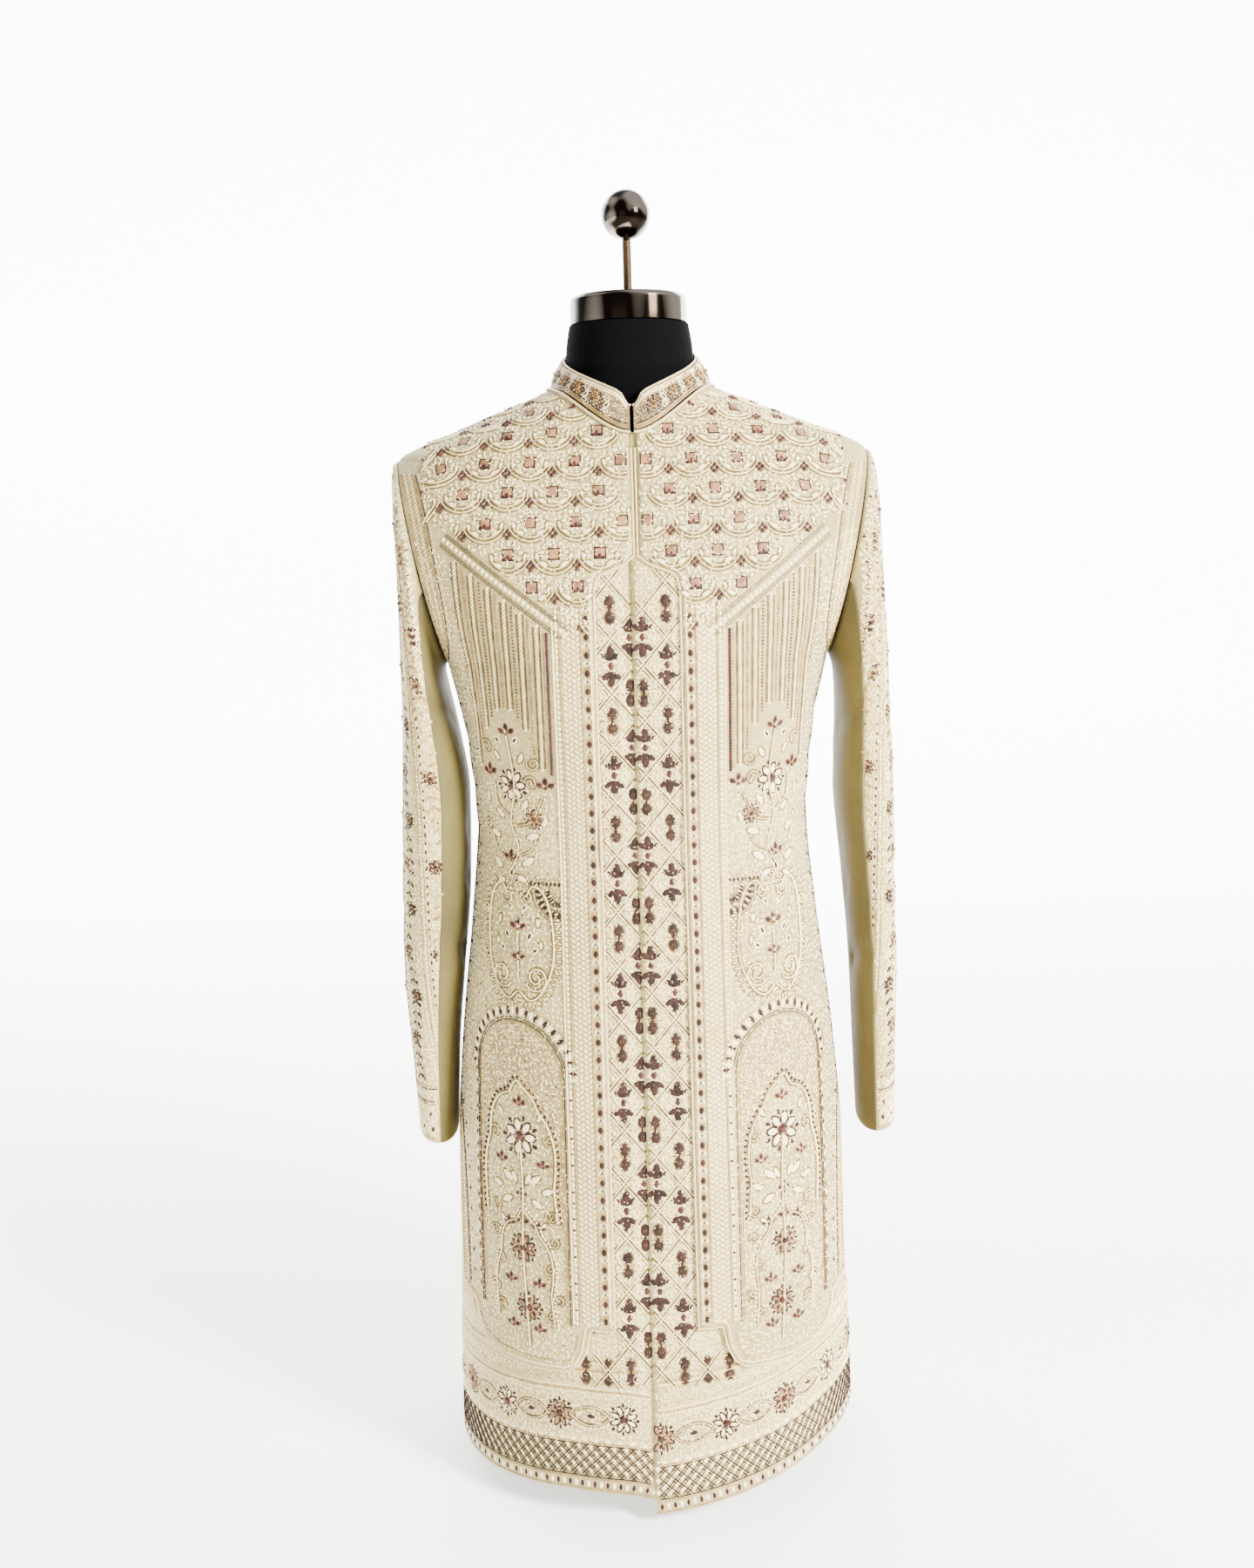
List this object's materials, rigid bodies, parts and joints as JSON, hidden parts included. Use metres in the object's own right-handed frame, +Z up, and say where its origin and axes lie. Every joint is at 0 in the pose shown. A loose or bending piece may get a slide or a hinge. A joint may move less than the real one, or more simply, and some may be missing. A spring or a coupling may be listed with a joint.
{
  "type": "embroidered sherwani coat on a limbless dress form",
  "caption": "Knee-length embroidered sherwani with a stand collar, cutaway over-panels and long sleeves, standing open-fronted on a limbless dress form with a pole and round base.",
  "frame": {"origin": "centre of the round base's underside, on the form's upright axis", "axes": "+Z up along the form's pole; -Y towards the coat's front; +X towards the panel that laps over, on the right in a front view"},
  "size_m": [0.5196, 0.3909, 1.326],
  "materials": {
    "coat_cloth": "ivory silk blend, embroidered with gold thread and beads at the front",
    "over_panel_cloth": "ivory silk blend, closely worked with gold and pink thread, pearls and sequins",
    "sleeve_cloth": "ivory silk blend with embroidered sprigs",
    "under_sleeve_cloth": "plain pistachio silk blend",
    "collar_cloth": "closely beaded",
    "gold_piping": "twisted gold cord",
    "form_cloth": "black jersey",
    "polished_steel": "polished",
    "threaded_rod": "tarnished, threaded",
    "stand_steel": "brushed tube",
    "stand_enamel": "satin black enamel"
  },
  "bodies": {
    "root": {"coat_front_left": "coat_cloth", "coat_front_right": "coat_cloth", "coat_back_left": "coat_cloth", "coat_back_right": "coat_cloth", "over_front_left": "over_panel_cloth", "over_front_right": "over_panel_cloth", "over_piping_left": "gold_piping", "over_piping_right": "gold_piping", "sleeve_top_left": "sleeve_cloth", "sleeve_top_right": "sleeve_cloth", "sleeve_under_left": "under_sleeve_cloth", "sleeve_under_right": "under_sleeve_cloth", "collar_band": "collar_cloth", "collar_top_piping": "gold_piping", "collar_base_piping": "gold_piping", "form_torso": "form_cloth", "form_neck_cap": "polished_steel", "form_ball": "polished_steel", "form_rod": "threaded_rod", "form_pole": "stand_steel", "form_base": "stand_enamel"}
  },
  "joints": []
}
